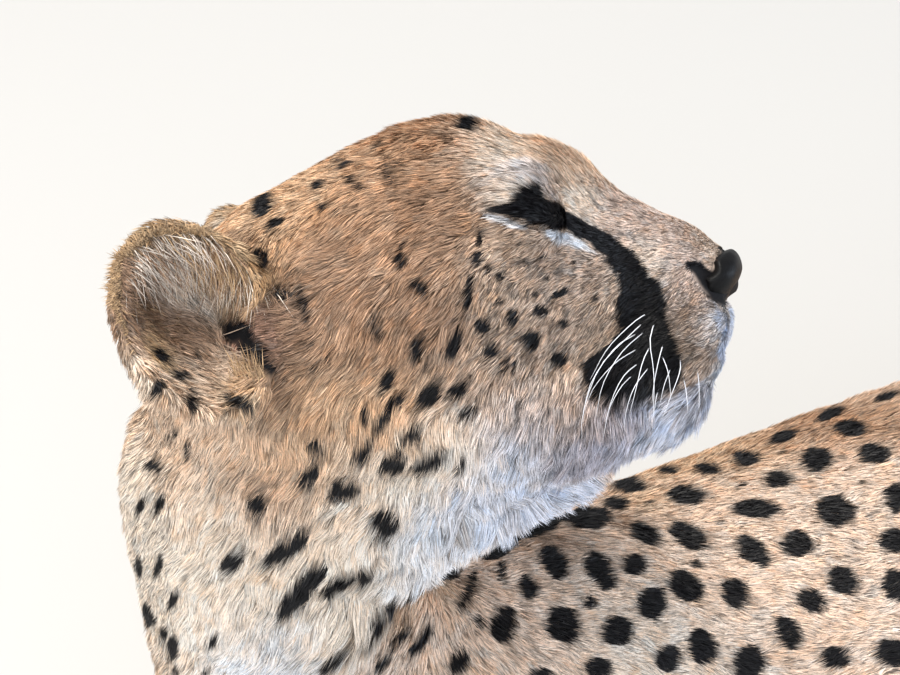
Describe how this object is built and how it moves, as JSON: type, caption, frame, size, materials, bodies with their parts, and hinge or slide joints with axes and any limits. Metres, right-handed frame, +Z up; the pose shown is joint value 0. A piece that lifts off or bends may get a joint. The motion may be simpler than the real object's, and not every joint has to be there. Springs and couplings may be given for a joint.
{
  "type": "cheetah",
  "caption": "Life-size still model of a spotted big cat lying on its chest, head turned back over its left shoulder, eyes nearly closed.",
  "frame": {"origin": "on the floor, under the middle of the whole animal's box", "axes": "+Z up; the body points along -X and its left side is at -Y; the head looks back along +X and a little to -Y"},
  "size_m": [1.1584, 0.5409, 0.5247],
  "materials": {
    "coat": "short tawny fur with black spots, pale below",
    "nose_leather": "moist black skin",
    "eye": "wet dark amber"
  },
  "bodies": {
    "root": {"trunk": "coat", "neck": "coat", "head": "coat", "ear_left": "coat", "ear_right": "coat", "upper_arm_left": "coat", "forearm_left": "coat", "forepaw_left": "coat", "thigh_left": "coat", "shank_left": "coat", "hindpaw_left": "coat", "upper_arm_right": "coat", "forearm_right": "coat", "forepaw_right": "coat", "thigh_right": "coat", "shank_right": "coat", "hindpaw_right": "coat", "tail_root": "coat", "tail_middle": "coat", "tail_tip": "coat", "nose": "nose_leather", "eye_left": "eye", "eye_right": "eye"}
  },
  "joints": []
}
